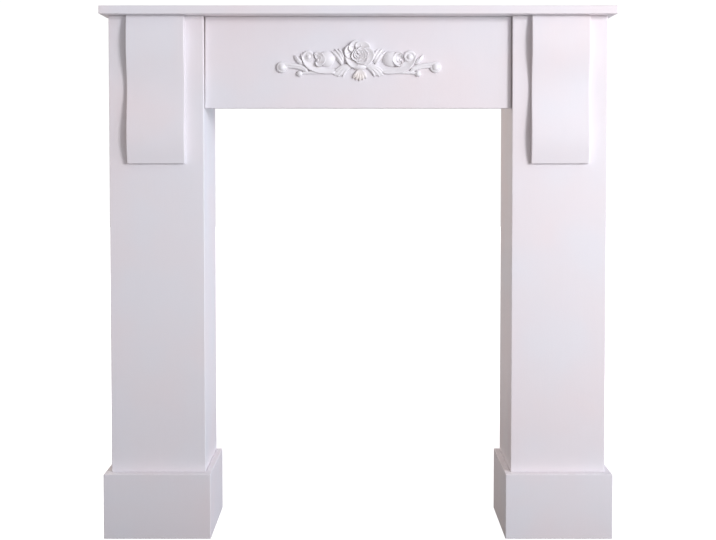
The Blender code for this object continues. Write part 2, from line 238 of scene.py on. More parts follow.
@dataclass(frozen=True)
class SatinPaint:
    """White satin paint, rolled on fibreboard, with a faint tint that drifts and a fine roller stipple.

    Scales are waves in a metre, ranges are the noise values between which a pattern fades in, and depths and
    the overspray's reach are metres.
    """

    colour: Colour = (0.812, 0.775, 0.795)
    rosy: Colour = (0.827, 0.765, 0.780)
    cool: Colour = (0.797, 0.785, 0.815)
    roughness: float = 0.46
    gloss_swing: float = 0.05
    drift_scale: float = 5.0
    drift_range: Place = (0.35, 0.65)
    patch_scale: float = 11.5
    patch_range: Place = (0.40, 0.70)
    patch_share: float = 0.6
    stipple_scale: float = 650.0
    stipple_range: Place = (0.3, 0.7)
    stipple_depth: float = 0.00010
    streak_scale: float = 90.0
    streak_stretch: tuple[float, float, float] = (1.0, 1.0, 0.12)
    streak_depth: float = 0.00012
    board: Colour = (0.46, 0.33, 0.21)
    board_fibre: Colour = (0.33, 0.22, 0.13)
    board_roughness: float = 0.88
    fibre_scale: float = 1400.0
    speck_scale: float = 160.0
    speck_range: Place = (0.62, 0.70)
    mist_scale: float = 70.0
    overspray_reach: float = 0.045
    overspray_fade: Place = (0.55, 1.3)

    def material(self, bare: BareFace, back: float) -> Material:
        """The paint for one kind of board.

        Args:
            bare: The faces that show raw board.
            back: Where the object's open back lies, from which the paint's overspray fades inwards.

        Returns:
            The material.
        """
        sheet = FinishSheet(f"satin_paint_{bare.name.lower()}")
        drift = sheet.spread(sheet.noise(self.drift_scale, 2.0), self.drift_range)
        patch = sheet.spread(sheet.noise(self.patch_scale, 1.0), self.patch_range, (0.0, self.patch_share))
        paint = sheet.mix(patch, sheet.mix(drift, self.rosy, self.cool), self.colour)
        stipple = sheet.noise(self.stipple_scale, 3.0, 0.55)
        streaks = sheet.noise(self.streak_scale, 2.0, place=sheet.stretched(self.streak_stretch))
        gloss = sheet.spread(stipple, self.stipple_range,
                             (self.roughness - self.gloss_swing, self.roughness + self.gloss_swing))
        normal = sheet.bump(streaks, self.streak_depth, sheet.bump(stipple, self.stipple_depth))
        if bare is not BareFace.NONE:
            mask = self.bare_mask(sheet, bare, back)
            raw = sheet.mix(sheet.noise(self.fibre_scale, 4.0, 0.7), self.board, self.board_fibre)
            paint = sheet.mix(mask, paint, raw)
            gloss = sheet.math("ADD", gloss, sheet.product(mask, self.board_roughness - self.roughness))
        return sheet.finish(paint, gloss, normal)

    def bare_mask(self, sheet: FinishSheet, bare: BareFace, back: float) -> Socket:
        """1 where the raw board shows: on the bare faces, less the paint that drifted in at the back.

        Args:
            sheet: The material's nodes.
            bare: The faces that show raw board.
            back: Where the open back lies.

        Returns:
            The mask.
        """
        mask = reduce(lambda first, second: sheet.math("MAXIMUM", first, second), map(sheet.facing, bare.value))
        if bare not in (BareFace.TOWARDS_LEFT, BareFace.TOWARDS_RIGHT):
            specks = sheet.spread(sheet.noise(self.speck_scale, 5.0, 0.7), self.speck_range)
            return sheet.product(mask, sheet.math("SUBTRACT", 1.0, specks))
        depth = sheet.math("SUBTRACT", back, sheet.node("SeparateXYZ", {0: sheet.place}).outputs["Y"])
        cloud = sheet.product(sheet.noise(self.mist_scale, 6.0, 0.75), self.overspray_reach)
        fade = tuple(self.overspray_reach * share for share in self.overspray_fade)
        return sheet.product(mask, sheet.spread(sheet.math("ADD", depth, cloud), fade))


@dataclass(frozen=True)
class CastPaint:
    """The same white over a cast ornament: softer, with painted shade in the recesses, which are darker and a
    little warmer, in patches from a noise.

    The cast stores two numbers a point: how deep it lies under its surroundings, which sets the painted shade,
    and where its coat is cream.
    """

    colour: Colour = (0.840, 0.825, 0.840)
    # painted shade: the colour that the deepest recesses darken towards
    recess_shade: Colour = (0.66, 0.62, 0.61)
    cream: Colour = (0.85, 0.795, 0.755)
    shade_noise_scale: float = 40.0
    shade_noise_range: Place = (0.25, 0.75)
    shade_noise_share: Place = (0.55, 1.0)
    gloss: Place = (0.35, 0.46)
    grain_scale: float = 900.0
    grain_range: Place = (0.3, 0.7)
    grain_depth: float = 0.00006

    def material(self) -> Material:
        """The paint for the cast rose."""
        sheet = FinishSheet("cast_paint")
        recess_shade, cream = (sheet.node("Attribute", {}, attribute_name=name).outputs["Fac"]
                         for name in ("recess_shade", "cream"))
        drift = sheet.noise(self.shade_noise_scale, 3.0)
        # painted shade: the deeper a point lies, the more it darkens and warms, in patches from a noise
        painted_shade = sheet.product(recess_shade, sheet.spread(drift, self.shade_noise_range, self.shade_noise_share))
        tone = sheet.mix(painted_shade, sheet.mix(cream, self.colour, self.cream), self.recess_shade)
        grain = sheet.noise(self.grain_scale, 3.0)
        return sheet.finish(tone, sheet.spread(grain, self.grain_range, self.gloss),
                            sheet.bump(grain, self.grain_depth))


def mesh_piece(name: str, points: Array, faces: Array, material: Material) -> bpy.types.Object:
    """Puts a surface's arrays into a mesh object at the origin, smooth but for its sharp edges.

    Args:
        name: The piece's name.
        points: The vertices, one row each, in metres.
        faces: Four vertex numbers a row, anticlockwise from outside.
        material: The finish.

    Returns:
        The new object.
    """
    mesh = bpy.data.meshes.new(name)
    mesh.vertices.add(len(points))
    mesh.vertices.foreach_set("co", np.ascontiguousarray(points, np.float32).ravel())
    mesh.loops.add(faces.size)
    mesh.loops.foreach_set("vertex_index", faces.astype(np.int32).ravel())
    mesh.polygons.add(len(faces))
    mesh.polygons.foreach_set("loop_start", np.arange(0, faces.size, 4, dtype=np.int32))
    mesh.update(calc_edges=True)
    mesh.validate()
    mesh.shade_smooth()
    mesh.set_sharp_from_angle(angle=math.radians(CREASE_DEGREES))
    mesh.materials.append(material)
    made = bpy.data.objects.new(name, mesh)
    bpy.context.scene.collection.objects.link(made)
    return made


def grid_faces(rows: int, columns: int) -> Array:
    """Numbers the quads of a grid of points that is stored row by row."""
    first = (np.arange(rows - 1)[:, None] * columns + np.arange(columns - 1)[None, :]).ravel()
    return np.stack([first, first + 1, first + columns + 1, first + columns], axis=1)


class Boards(ABC):
    """A sub-assembly of boards that keep their solids and get a paint."""

    @abstractmethod
    def bare_faces(self) -> dict[str, BareFace]:
        """Each board's node, with the faces that nobody painted."""

    def dress(self, paints: dict[BareFace, Material]) -> None:
        """Puts the paint for its bare faces on each board's solid."""
        for node, bare in self.bare_faces().items():
            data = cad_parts[node].data
            data.materials.clear()
            data.materials.append(paints[bare])
            LOG.info("painted %s", node)


class TopBoards(Boards):
    """The shelf, and the header board under it, which is raw behind and at its hidden ends."""

    def bare_faces(self) -> dict[str, BareFace]:
        """The two boards that span the opening."""
        return {"mantel_shelf": BareFace.NONE, "header_board": BareFace.BACK_AND_ENDS}


@dataclass
class Pillar(Boards):
    """A box column of three boards, open at the back and raw inside."""

    side: Side

    def bare_faces(self) -> dict[str, BareFace]:
        """The front, and two sides whose raw faces look at each other."""
        outer, inner = (BareFace.TOWARDS_RIGHT, BareFace.TOWARDS_LEFT)[::-self.side.value]
        return {f"{self.side.label}_pillar_front": BareFace.BACK,
                f"{self.side.label}_pillar_outer_side": outer,
                f"{self.side.label}_pillar_inner_side": inner}


@dataclass
class Plinth(Boards):
    """Three boards wrapped round a pillar's foot, painted all over."""

    side: Side

    def bare_faces(self) -> dict[str, BareFace]:
        """The front and the two sides."""
        return {f"{self.side.label}_plinth_{board}": BareFace.NONE
                for board in ("front", "outer_side", "inner_side")}


@dataclass
class Bracket:
    """A thin plate under the shelf whose face swells twice on its way down. Sizes are metres.

    Swells, waist and foot are stand-outs from the pillar, and drops are measured down from the shelf.
    """

    side: Side
    top: float = 0.0105
    upper_swell: float = 0.0165
    upper_drop: float = 0.053
    waist: float = 0.0080
    waist_drop: float = 0.140
    lower_swell: float = 0.0160
    lower_drop: float = 0.236
    foot: float = 0.0085
    stations: int = 220
    edge_round: float = 0.0011
    edge_steps: int = 6
    face_steps: int = 40
    unevenness: float = 0.00012
    waves_down: float = 61.0
    waves_across: float = 83.0
    wave_start: float = 1.3

    def stand_out(self, drop: Array, height: float) -> Array:
        """How far the face stands out at each drop below the shelf.

        It rises on a quarter sine to the upper swell, falls and rises on half cosines through the waist to the
        lower swell, and leaves on a quarter cosine to its foot.

        Args:
            drop: Drops below the top edge.
            height: The bracket's height.

        Returns:
            The stand-outs.
        """
        knots = ((0.0, self.top), (self.upper_drop, self.upper_swell), (self.waist_drop, self.waist),
                 (self.lower_drop, self.lower_swell), (height, self.foot))
        eases = (lambda t: np.sin(QUARTER * t), lambda t: (1 - np.cos(np.pi * t)) / 2,
                 lambda t: (1 - np.cos(np.pi * t)) / 2, lambda t: 1 - np.cos(QUARTER * t))
        out = np.full_like(drop, self.top)
        for (start, low), (end, high), ease in zip(knots, knots[1:], eases):
            share = np.clip((drop - start) / (end - start), 0.0, 1.0)
            out = np.where(drop >= start, low + (high - low) * ease(share), out)
        return out

    def rounded(self, length: float, steps: int) -> Array:
        """Places along a length: even between its ends, and on a quarter circle's steps over both edges."""
        ends = self.edge_round * (1 - np.cos(np.linspace(0, QUARTER, self.edge_steps)))
        even = np.linspace(self.edge_round, length - self.edge_round, steps)[1:-1]
        return np.concatenate([ends, even, length - ends[::-1]])

    def sunk(self, place: Array, length: float) -> Array:
        """How far a quarter circle draws the face in at places near both ends of a length."""
        past = np.maximum(self.edge_round - np.minimum(place, length - place), 0.0)
        return self.edge_round - np.sqrt(np.maximum(self.edge_round ** 2 - past ** 2, 0.0))

    @staticmethod
    def faces(rows: int, columns: int) -> Array:
        """The quads of the loops, of the strip across the back, and of a cap over each end.

        Args:
            rows: Loops down the plate.
            columns: Points round each loop, an even number.

        Returns:
            Four vertex numbers for each quad.
        """
        left = np.arange(rows - 1) * columns
        parts = [grid_faces(rows, columns),
                 np.stack([left + columns, left + 2 * columns - 1, left + columns - 1, left], axis=1)]
        step = np.arange(columns // 2 - 1)
        for row, flip in ((0, 1), (rows - 1, -1)):
            near, far = row * columns + step, (row + 1) * columns - 1 - step
            parts.append(np.stack([near, far, far - 1, near + 1], axis=1)[:, ::flip])
        return np.concatenate(parts)[:, ::-1]

    def build(self, paint: Material) -> bpy.types.Object:
        """Makes the plate as a section carried down the wavy profile.

        The section is a closed loop round the plate: straight up one side, a quarter circle over the edge,
        across the face, and down again. At both ends the face sinks on a quarter circle, which rounds the end
        edges. A product of two sines makes the face a little uneven.

        Args:
            paint: The finish.

        Returns:
            The piece, which stands for its solid.
        """
        node = f"{self.side.label}_bracket"
        low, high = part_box(node)
        width, height = high.x - low.x, high.z - low.z
        drop = self.rounded(height, self.stations)[:, None]
        over = np.concatenate([[0.0], self.rounded(width, self.face_steps), [width]])[None, :]
        x = np.broadcast_to(low.x + over, (drop.size, over.size))
        down = np.sin(drop * self.waves_down + self.side.value)
        wave = down * np.sin(x * self.waves_across + self.wave_start)
        out = self.stand_out(drop, height) - self.sunk(drop, height) - self.sunk(over, width)
        y = high.y - np.maximum(out - self.unevenness * (1 + wave) / 2, self.edge_round)
        y[:, [0, -1]] = high.y
        points = np.stack([x, y, np.broadcast_to(high.z - drop, x.shape)], axis=2).reshape(-1, 3)
        made = mesh_piece(f"{node}_plate", points, self.faces(*x.shape), paint)
        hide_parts(node)
        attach(made, BODY)
        LOG.info("%s bracket: %d faces", self.side.label, len(made.data.polygons))
        return made


def smooth_top(first: Array, second: Array, soft: float) -> Array:
    """The higher of two heights, with the crease between them filled by a small round.

    Args:
        first: Heights.
        second: Heights.
        soft: The height difference over which they blend.

    Returns:
        The joined heights.
    """
    near = np.clip(1.0 - np.abs(first - second) / soft, 0.0, 1.0)
    return np.maximum(first, second) + soft / 4 * near ** 2


def rolled(inside: Array, radius: float) -> Array:
    """How far a quarter round lowers a surface at some distances inside its edge."""
    edge = np.clip(radius - inside, 0.0, radius)
    return radius - np.sqrt(np.maximum(radius ** 2 - edge ** 2, 0.0))


def bezier(points: tuple[Place, ...], steps: int) -> Array:
    """Points along a cubic curve, as the sum of its four control points with Bernstein weights."""
    t = np.linspace(0.0, 1.0, steps)[:, None]
    a, b, c, d = (np.array(p) for p in points)
    return a * (1 - t) ** 3 + b * 3 * t * (1 - t) ** 2 + c * 3 * t ** 2 * (1 - t) + d * t ** 3


def on_circle(centre: Place, radius: float, degrees: float) -> Array:
    """A point at an angle round a centre."""
    angle = math.radians(degrees)
    return np.array([centre[0] + radius * math.cos(angle), centre[1] + radius * math.sin(angle)])


def spiral(centre: Place, radii: Place, turn: Place, steps: int) -> Array:
    """Points round a centre whose angle and radius both run evenly between two values."""
    angle = np.radians(np.linspace(turn[0], turn[1], steps))
    radius = np.linspace(radii[0], radii[1], steps)
    return np.stack([centre[0] + radius * np.cos(angle), centre[1] + radius * np.sin(angle)], axis=1)


def box_round(points: Array, edge: float) -> Box:
    """The lowest and highest out and up of some points, grown by an edge and a millimetre more."""
    low, high = points.min(0) - (edge + 1.0), points.max(0) + (edge + 1.0)
    return low[0], high[0], low[1], high[1]


def along_spans(path: Array, out: Array, up: Array) -> tuple[Array, Array]:
    """Where points lie beside each short span of a path.

    Args:
        path: The path's points.
        out: Places outwards.
        up: Places upwards.

    Returns:
        For each point and span, the share of the span that lies before the point's foot on it, and the step
        from that foot to the point.
    """
    span = path[1:] - path[:-1]
    length = np.maximum((span ** 2).sum(1), 1e-9)
    away = np.stack([out, up], axis=1)[:, None, :] - path[None, :-1]
    share = np.clip((away * span[None]).sum(2) / length, 0.0, 1.0)
    return share, away - span[None] * share[..., None]


class Form(ABC):
    """One modelled form of the cast: its height and signed reach over points of the drawing, in millimetres."""

    @abstractmethod
    def box(self) -> Box:
        """The lowest and highest out and up that it can touch."""

    @abstractmethod
    def sample(self, out: Array, up: Array) -> tuple[Array, Array]:
        """Works the form out at some points.

        Args:
            out: Places outwards from the rose's middle line.
            up: Places upwards.

        Returns:
            The heights over the back, and how far inside the form's outline each point lies.
        """


@dataclass(frozen=True)
class Strand(Form):
    """A rounded strand along a path.

    At a distance d from the path its height is its lift plus the root of r squared less d squared, where r
    follows the path between its given radii.
    """

    path: Array
    radius: Array
    lift: float

    @classmethod
    def tapered(cls, path: Array, radii: tuple[float, float, float], lift: float, tip: float = 0.05,
                tip_share: float = 0.55) -> "Strand":
        """A strand whose radius runs evenly over three values, with both tips drawn in on a quarter round.

        Args:
            path: Its points.
            radii: The radius at its start, half way and at its end.
            lift: The height of its axis over the back.
            tip: How much of its length each tip takes.
            tip_share: The share of the radius that is left at the very ends.

        Returns:
            The strand.
        """
        t = np.linspace(0.0, 1.0, len(path))
        tips = np.clip(np.minimum(t, 1 - t) / tip, 0.0, 1.0)
        drawn_in = tip_share + (1 - tip_share) * np.sqrt(1 - (1 - tips) ** 2)
        return cls(path, np.interp(t, (0.0, 0.5, 1.0), radii) * drawn_in, lift)

    @classmethod
    def pod(cls, root: Place, tip: Place, width: float, bow: float, lift: float, crown: float,
            steps: int = 26, tip_share: float = 0.16, fullness: float = 0.75) -> "Strand":
        """A pointed lobe from a root to a tip.

        It bows aside on a half sine, and its radius swells on a sine of a power of the way along.

        Args:
            root: Where it starts.
            tip: Where it ends.
            width: Its widest radius.
            bow: How far it bows aside, as a share of its length.
            lift: The height of its axis over the back.
            crown: Moves its widest place towards the root as it grows.
            steps: Points along it.
            tip_share: The share of the radius that is left at its ends.
            fullness: The power of the sine, under 1 for a fuller lobe.

        Returns:
            The lobe.
        """
        start, end = np.array(root, float), np.array(tip, float)
        t = np.linspace(0.0, 1.0, steps)
        aside = np.array([start[1] - end[1], end[0] - start[0]]) * bow
        path = start + (end - start) * t[:, None] + aside * np.sin(np.pi * t)[:, None]
        swell = np.sin(np.pi * t ** (1 / crown * 0.9)) ** fullness
        return cls(path, width * (tip_share + (1 - tip_share) * swell), lift)

    def box(self) -> Box:
        """The path's box, grown by its widest radius."""
        return box_round(self.path, float(self.radius.max()))

    def sample(self, out: Array, up: Array) -> tuple[Array, Array]:
        """The highest short span at each point, with its reach. Args and Returns as in Form."""
        share, offset = along_spans(self.path, out, up)
        gap = np.linalg.norm(offset, axis=2)
        radius = self.radius[:-1] + (self.radius[1:] - self.radius[:-1]) * share
        round_part = np.sqrt(np.maximum(radius ** 2 - gap ** 2, 0.0))
        best = (np.arange(len(out)), (radius - gap).argmax(1))
        return self.lift + round_part[best], (radius - gap)[best]


@dataclass(frozen=True)
class Flange(Form):
    """A broad sweep with a rolled rim along a path, whose face sinks hollow to the path's right.

    At a distance s to the right of the path the height is the floor plus the rise times one less s over the
    width, raised to a power. The first stretch rolls up to the rim on a quarter round.
    """

    path: Array
    width: Array
    floor: float
    rise: float
    rim: float = 2.2
    hollow: float = 1.5

    def box(self) -> Box:
        """The path's box, grown by the sweep's greatest width."""
        return box_round(self.path, float(self.width.max()))

    def sample(self, out: Array, up: Array) -> tuple[Array, Array]:
        """The sweep's height and reach, from the path's nearest short span. Args and Returns as in Form."""
        share, offset = along_spans(self.path, out, up)
        gap = np.linalg.norm(offset, axis=2)
        near = gap.argmin(1)
        rows = np.arange(len(out))
        span = (self.path[1:] - self.path[:-1])[near]
        side = span[:, 1] * offset[rows, near, 0] - span[:, 0] * offset[rows, near, 1]
        inward = np.where(side > 0, gap[rows, near], -gap[rows, near])
        width = self.width[near] + (self.width[near + 1] - self.width[near]) * share[rows, near]
        height = self.floor + self.rise * np.clip(1 - inward / width, 0.0, 1.0) ** self.hollow
        return height - rolled(inward, self.rim), np.minimum(inward, width - inward)


@dataclass(frozen=True)
class Egg(Form):
    """Half an egg on the back plane.

    Its height is its middle's times the root of one less the squared distance over its axes. Its long axis is
    turned by an angle in degrees, and its ends may be drawn to a point.
    """

    place: Place
    length: float
    width: float
    height: float
    turn: float = 0.0
    pointed: float = 0.0

    def box(self) -> Box:
        """A square round its middle."""
        return box_round(np.array([self.place]), max(self.length, self.width))

    def sample(self, out: Array, up: Array) -> tuple[Array, Array]:
        """The egg's height and reach. Args and Returns as in Form."""
        angle = math.radians(self.turn)
        right, high = out - self.place[0], up - self.place[1]
        along = (right * math.cos(angle) + high * math.sin(angle)) / self.length
        taper = 1.0 - self.pointed * np.clip(along, -1, 1) ** 2
        aside = (high * math.cos(angle) - right * math.sin(angle)) / (self.width * taper)
        radial = np.sqrt(along ** 2 + aside ** 2)
        height = self.height * np.sqrt(np.maximum(1 - radial ** 2, 0.0))
        return height, (1 - radial) * min(self.length, self.width)


@dataclass(frozen=True)
class Petal(Form):
    """A cupped petal round a centre, whose lip rolls over.

    Its outline's radius is the reach times the cosine of its angle from the petal's middle, stretched over its
    span and raised to a small power, with a ripple. From the middle to the lip its height rises with a power
    of the radius, it leans to one side so that it overlaps its neighbour, and the last stretch is a quarter
    round.
    """

    centre: Place
    turn: float
    span: float
    reach: float
    floor: float
    rise: float
    lean: float
    lip: float
    ripple: float = 0.5
    fullness: float = 0.32
    cup: float = 2.2
    ripples: float = 5.0

    def box(self) -> Box:
        """A square round the centre."""
        return box_round(np.array([self.centre]), self.reach + self.ripple)

    def sample(self, out: Array, up: Array) -> tuple[Array, Array]:
        """The petal's height and reach. Args and Returns as in Form."""
        right, high = out - self.centre[0], up - self.centre[1]
        radius = np.hypot(right, high)
        angle = (np.degrees(np.arctan2(high, right)) - self.turn + 180.0) % 360.0 - 180.0
        share = angle / self.span
        bend = np.cos(np.clip(share, -1, 1) * QUARTER)
        wave = np.sin(np.radians(angle) * self.ripples + self.turn) * np.clip(bend * 3, 0, 1)
        outline = self.reach * np.maximum(bend, 1e-4) ** self.fullness + self.ripple * wave
        inside = outline - radius
        height = self.floor + self.rise * np.clip(radius / np.maximum(outline, 0.5), 0, 1) ** self.cup
        height = height + self.lean * share - rolled(inside, self.lip)
        return height, np.where(np.abs(share) < 1.0, inside, -1.0)


@dataclass(frozen=True)
class PetalRing:
    """A ring of like petals, whose spans overlap by a factor and whose first one is turned by an angle."""

    centre: Place
    count: int
    reach: float
    floor: float
    rise: float
    turn: float
    overlap: float = 1.45

    def petals(self) -> list[Form]:
        """The ring's petals, evenly round its centre."""
        return [Petal(self.centre, self.turn + 360.0 * petal / self.count, 180.0 / self.count * self.overlap,
                      self.reach, self.floor, self.rise, lean=1.4, lip=min(2.2, self.reach / 4),
                      ripple=self.reach * 0.04, fullness=0.24, cup=3.0)
                for petal in range(self.count)]


@dataclass
class RoseOrnament:
    """The cast rose between two scrolls, as one relief with a flat back.

    The drawing's unit is a millimetre, out from the middle line and up from the rose's foot. The two halves
    mirror each other, and the rose in the middle isn't mirrored.
    """

    node: str = "rose_ornament"
    half_length: float = 164.5
    lowest: float = -40.0
    highest: float = 48.0
    drop: float = 90.5
    cell: float = 0.52
    soft: float = 0.7
    edge: float = 0.25
    slope_step: float = 0.05
    recess_reach: float = 3.0
    recess_depth: float = 2.2
    cream_place: Place = (0.0, -27.0)
    cream_axes: Place = (17.0, 12.0)

    rose_bed: Egg = Egg((0.6, 14.0), 24.0, 24.0, 3.6)
    # The turn, span and reach of each outer petal.
    outer_petals: tuple[tuple[float, float, float], ...] = (
        (-146.0, 56.0, 28.8), (116.0, 42.0, 30.2), (160.0, 40.0, 30.6), (66.0, 50.0, 29.4), (-6.0, 62.0, 29.6))
    outer_floor: float = 2.0
    outer_rise: float = 6.6
    turned_petal: Egg = Egg((2.6, -8.5), 14.5, 6.4, 7.6, 4.0)
    inner_rings: tuple[PetalRing, ...] = (
        PetalRing((2.6, 13.4), 3, 17.2, 3.4, 7.0, 56.0),
        PetalRing((2.2, 14.8), 2, 12.4, 5.4, 5.2, 128.0),
        PetalRing((0.8, 16.4), 2, 7.4, 6.8, 4.6, 24.0))
    heart: Egg = Egg((0.4, 17.0), 2.6, 2.0, 11.6, 30.0)

    fan_root: Place = (1.6, -9.0)
    fan_angles: tuple[float, ...] = (-121.0, -105.5, -90.0, -74.5, -59.0)
    fan_start: float = 4.0
    fan_length: float = 26.5
    fan_shrink: float = 0.05
    fan_width: float = 3.9

    # The root, tip and radius of each rib over the buds, and the tip and radius of each one under them.
    upper_ribs: tuple[tuple[Place, Place, float], ...] = (
        ((33.0, -4.0), (53.0, 22.0), 3.9), ((31.0, 0.0), (46.5, 26.5), 3.7), ((29.0, 5.0), (39.5, 27.0), 3.3))
    lower_root: Place = (12.0, -6.0)
    lower_ribs: tuple[tuple[Place, float], ...] = (
        ((50.5, -19.5), 3.8), ((47.5, -24.0), 4.0), ((40.5, -27.0), 3.8), ((31.5, -27.5), 3.3))
    rib_lift: float = 1.8
    leaf_beds: tuple[Egg, ...] = (Egg((35.0, -17.0), 17.0, 8.5, 4.2, -24.0, pointed=0.4),
                                  Egg((40.0, 11.5), 15.0, 7.5, 3.4, 52.0, pointed=0.4))

    # A smooth round body, with petals that wrap an opening at its outer end.
    bud: tuple[Form, ...] = (
        Egg((63.5, 7.2), 17.4, 15.4, 8.2, 4.0),
        Petal((83.0, 6.0), 170.0, 118.0, 17.2, 2.6, 7.0, lean=0.6, lip=2.2, fullness=0.26),
        Petal((82.6, 7.2), 152.0, 122.0, 9.4, 3.0, 5.8, lean=-0.6, lip=1.8, ripple=0.4),
        Egg((80.2, 4.6), 3.8, 2.2, 6.4, 110.0))

    sweep_rim: tuple[Place, ...] = ((112.6, 13.0), (111.0, -9.0), (94.0, -25.0), (51.0, -21.6))
    sweep_stations: tuple[float, ...] = (0.0, 0.3, 0.6, 1.0)
    sweep_widths: tuple[float, ...] = (5.0, 17.0, 17.0, 9.0)
    sweep_floor: float = 1.6
    sweep_rise: float = 5.6
    volute_centre: Place = (99.0, 11.0)
    volute_radii: Place = (11.8, 6.4)
    volute_turn: Place = (-40.0, 280.0)
    curl_centre: Place = (151.0, -9.0)
    curl_radii: Place = (7.2, 8.6)
    curl_turn: Place = (100.0, -205.0)
    tail_start: Place = (103.5, -15.0)
    tail_lead: Place = (111.0, -4.4)
    tail_pull: float = 18.0
    under_strand: tuple[Place, ...] = ((102.0, -17.0), (110.0, -11.8), (124.0, -6.4), (145.0, -9.0))
    stem: tuple[Place, ...] = ((70.0, -18.8), (90.0, -19.2), (104.0, -19.2), (117.0, -21.8))
    bosses: tuple[Egg, ...] = (Egg(volute_centre, 11.4, 11.4, 5.4), Egg(volute_centre, 5.8, 5.8, 8.2),
                               Egg(curl_centre, 8.6, 8.6, 8.4), Egg((116.4, -21.7), 6.4, 6.2, 6.4))
    leaflet: tuple[Strand, ...] = (Strand.pod((111.0, -1.6), (126.6, 14.2), 4.7, -0.05, 1.0, 1.3),
                                   Strand.pod((112.0, 0.6), (124.6, 13.8), 2.2, -0.03, 3.4, 1.3))

    def rose(self) -> list[Form]:
        """Broad cupped petals, one petal turned down, and rings of inner petals that rise to a tight heart."""
        outer = [Petal(self.rose_bed.place, turn, span, reach, self.outer_floor, self.outer_rise, lean=1.1,
                       lip=2.6, ripple=0.9, fullness=0.18, cup=2.4) for turn, span, reach in self.outer_petals]
        inner = [petal for ring in self.inner_rings for petal in ring.petals()]
        return [self.rose_bed, *outer, self.turned_petal, *inner, self.heart]

    def fan(self) -> list[Form]:
        """A shell of five pods under the rose, the outer ones a little shorter."""
        tips = [self.fan_length - abs(angle + 90.0) * self.fan_shrink for angle in self.fan_angles]
        return [Strand.pod(on_circle(self.fan_root, self.fan_start, angle),
                           on_circle(self.fan_root, tip, angle), self.fan_width,
                           bow=0.04, lift=1.7, crown=0.62) for angle, tip in zip(self.fan_angles, tips)]

    def leaves(self) -> list[Form]:
        """Two sprays of ribs, one over and one under the buds, each on a low bed."""
        upper = [Strand.pod(root, tip, width, 0.08, self.rib_lift, crown=1.4)
                 for root, tip, width in self.upper_ribs]
        lower = [Strand.pod(self.lower_root, tip, width, 0.12, self.rib_lift, crown=1.2)
                 for tip, width in self.lower_ribs]
        return [*upper, *lower, *self.leaf_beds]

    def tail(self) -> Array:
        """A run that leaves the sweep towards its lead and flows into the curl at the curl's first point."""
        entry = on_circle(self.curl_centre, self.curl_radii[0], self.curl_turn[0])
        tangent = on_circle((0.0, 0.0), 1.0, self.curl_turn[0] - 90.0)
        run = bezier((self.tail_start, self.tail_lead, entry - tangent * self.tail_pull, entry), 28)
        return np.concatenate([run[:-1], spiral(self.curl_centre, self.curl_radii, self.curl_turn, 56)])

    def scrolls(self) -> list[Form]:
        """A broad sweep that runs out into a volute, a tail into a curl, a stem, bosses and a leaflet."""
        rim = bezier(self.sweep_rim, 48)
        width = np.interp(np.linspace(0.0, 1.0, len(rim)), self.sweep_stations, self.sweep_widths)
        volute = spiral(self.volute_centre, self.volute_radii, self.volute_turn, 52)
        return [
            Flange(rim, width, self.sweep_floor, self.sweep_rise),
            Strand.tapered(volute, (2.6, 3.2, 2.6), 2.2),
            Strand.tapered(self.tail(), (3.6, 3.4, 2.6), 1.8),
            Strand.tapered(bezier(self.under_strand, 30), (3.0, 3.2, 2.4), 1.5),
            Strand.tapered(bezier(self.stem, 30), (3.2, 3.2, 2.6), 1.2),
            *self.bosses,
            *self.leaflet,
        ]

    @cached_property
    def forms(self) -> list[tuple[Form, bool]]:
        """Every form of the drawing, with True for one that stands on both sides of the middle line."""
        sides = [*self.leaves(), *self.bud, *self.scrolls()]
        return [(form, False) for form in self.rose() + self.fan()] + [(form, True) for form in sides]

    def relief(self, out: Array, up: Array) -> tuple[Array, Array]:
        """The joined forms at some points: the softened highest height, and the greatest reach.

        Args:
            out: Places outwards from the middle line, less than 0 on the left.
            up: Places upwards.

        Returns:
            Heights over the back, and signed reach inside the outline.
        """
        height = np.full(out.shape, EMPTY)
        reach = np.full(out.shape, EMPTY)
        for form, mirrored in self.forms:
            across = np.abs(out) if mirrored else out
            x0, x1, y0, y1 = form.box()
            near = np.flatnonzero((across > x0) & (across < x1) & (up > y0) & (up < y1))
            if not len(near):
                continue
            rise, inside = form.sample(across[near], up[near])
            reach[near] = np.maximum(reach[near], inside)
            on = near[inside > 0]
            height[on] = smooth_top(height[on], rise[inside > 0], self.soft)
        return height, reach

    @staticmethod
    def outline_cells(reach: Array) -> Array:
        """Marks the grid cells that the ornament covers, with no two that meet only at a corner.

        Args:
            reach: The signed reach at the grid's points.

        Returns:
            True for each covered cell.
        """
        inside = reach > 0
        cells = inside[:-1, :-1] | inside[1:, :-1] | inside[:-1, 1:] | inside[1:, 1:]
        while True:
            a, b, c, d = cells[:-1, :-1], cells[:-1, 1:], cells[1:, :-1], cells[1:, 1:]
            pinched = (a & d & ~b & ~c) | (b & c & ~a & ~d)
            if not pinched.any():
                return cells
            cells[:-1, :-1] |= pinched
            cells[1:, 1:] |= pinched
            cells[:-1, 1:] |= pinched

    def slope(self, x: Array, y: Array) -> tuple[Array, Array, Array]:
        """The reach's two slopes, from differences over a small step, and its value."""
        step = self.slope_step
        slope_x = (self.relief(x + step, y)[1] - self.relief(x - step, y)[1]) / (2 * step)
        slope_y = (self.relief(x, y + step)[1] - self.relief(x, y - step)[1]) / (2 * step)
        return slope_x, slope_y, self.relief(x, y)[1]

